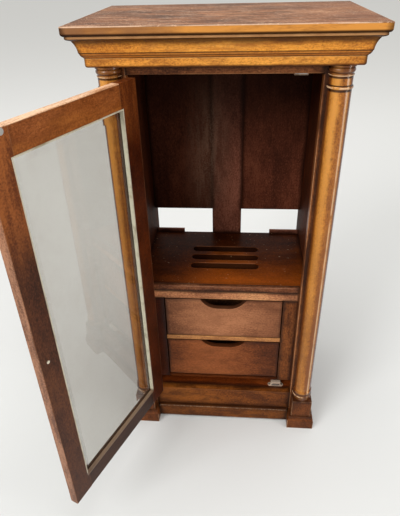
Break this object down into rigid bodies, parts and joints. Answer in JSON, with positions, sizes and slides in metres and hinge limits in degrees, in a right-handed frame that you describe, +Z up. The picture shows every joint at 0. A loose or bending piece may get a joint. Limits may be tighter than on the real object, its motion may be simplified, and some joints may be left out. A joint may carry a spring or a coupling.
{
  "type": "display case",
  "caption": "Wooden display case with a glazed front door, corner columns, a moulded top, a slotted shelf and drawers below it.",
  "frame": {"origin": "on the floor, on the axis of the left-hand column, at the middle of the left front foot's width", "axes": "+Z up, +Y from the front of the case to its back, +X to the right seen from the front"},
  "size_m": [0.6754, 0.7665, 1.141],
  "materials": {
    "top_wood": "dark reddish brown stain, worn satin",
    "crown_wood": "amber varnish with dark glaze in the hollows",
    "band_wood": "brown varnish",
    "side_wood": "brown varnish",
    "post_wood": "amber brown varnish",
    "column_wood": "glossy amber varnish with dark glaze",
    "base_wood": "brown varnish, worn edges",
    "inner_wood": "dark red-brown stain",
    "shelf_wood": "red-brown satin varnish",
    "bay_wood": "brown satin varnish",
    "catch_plastic": "moulded plastic",
    "magnet_steel": "plain",
    "hardware_steel": "zinc plated",
    "hinge_brass": "aged",
    "door_wood": "red-brown satin varnish",
    "glass": "clear, bevelled",
    "strip_plastic": "pale translucent",
    "knob_brass": "aged",
    "drawer_front_wood": "reddish satin varnish",
    "drawer_box_wood": "thin stain"
  },
  "bodies": {
    "cabinet": {"top_slab": "top_wood", "crown_front": "crown_wood", "crown_left": "crown_wood", "crown_right": "crown_wood", "band_front": "band_wood", "band_left": "band_wood", "band_right": "band_wood", "head_rail": "band_wood", "side_panel_left": "side_wood", "side_panel_right": "side_wood", "post_left": "post_wood", "post_right": "post_wood", "column_left": "column_wood", "column_right": "column_wood", "column_block_left": "base_wood", "column_block_right": "base_wood", "feet": "base_wood", "plinth_rail_front": "base_wood", "plinth_rails_side": "base_wood", "front_rail": "base_wood", "top_panel": "inner_wood", "floor_board": "inner_wood", "back_stile": "inner_wood", "back_panel_left": "inner_wood", "back_panel_right": "inner_wood", "back_panels_lower": "inner_wood", "bay_floor": "inner_wood", "bay_partitions": "inner_wood", "shelf": "shelf_wood", "shelf_lipping": "shelf_wood", "bay_top_rail": "bay_wood", "bay_stile_left": "bay_wood", "bay_stile_right": "bay_wood", "bay_divider": "bay_wood", "catch_cases": "catch_plastic", "case_screws": "hardware_steel", "hinge_leaves_case": "hinge_brass", "hinge_pins": "hinge_brass"},
    "door": {"door_stile_hinge": "door_wood", "door_stile_free": "door_wood", "door_rail_top": "door_wood", "door_rail_bottom": "door_wood", "door_glass": "glass", "glazing_strips": "strip_plastic", "knob": "knob_brass", "knob_screw": "hardware_steel", "strike_disc": "hardware_steel", "hinge_leaves_door": "hinge_brass", "door_screws": "hardware_steel"},
    "drawer_upper": {"upper_drawer_front": "drawer_front_wood", "upper_drawer_sides": "drawer_box_wood", "upper_drawer_back": "drawer_box_wood", "upper_drawer_bottom": "drawer_box_wood"},
    "drawer_lower": {"lower_drawer_front": "drawer_front_wood", "lower_drawer_sides": "drawer_box_wood", "lower_drawer_back": "drawer_box_wood", "lower_drawer_bottom": "drawer_box_wood"},
    "magnet_upper": {"catch_magnet_upper": "magnet_steel"},
    "magnet_lower": {"catch_magnet_lower": "magnet_steel"}
  },
  "joints": [
    {"name": "door_hinge", "type": "hinge", "parent": "cabinet", "child": "door", "pos_m": [0.035, -0.005, 0.6], "axis": [0, 0, -1], "range_deg": [-113, 25]},
    {"name": "upper_drawer_slide", "type": "slide", "parent": "cabinet", "child": "drawer_upper", "axis": [0, -1, 0], "range_m": [0, 0.22]},
    {"name": "lower_drawer_slide", "type": "slide", "parent": "cabinet", "child": "drawer_lower", "axis": [0, -1, 0], "range_m": [0, 0.22]},
    {"name": "upper_magnet_float", "type": "slide", "parent": "cabinet", "child": "magnet_upper", "axis": [0, -1, 0], "range_m": [-0.0015, 0]},
    {"name": "lower_magnet_float", "type": "slide", "parent": "cabinet", "child": "magnet_lower", "axis": [0, -1, 0], "range_m": [-0.0015, 0]}
  ]
}
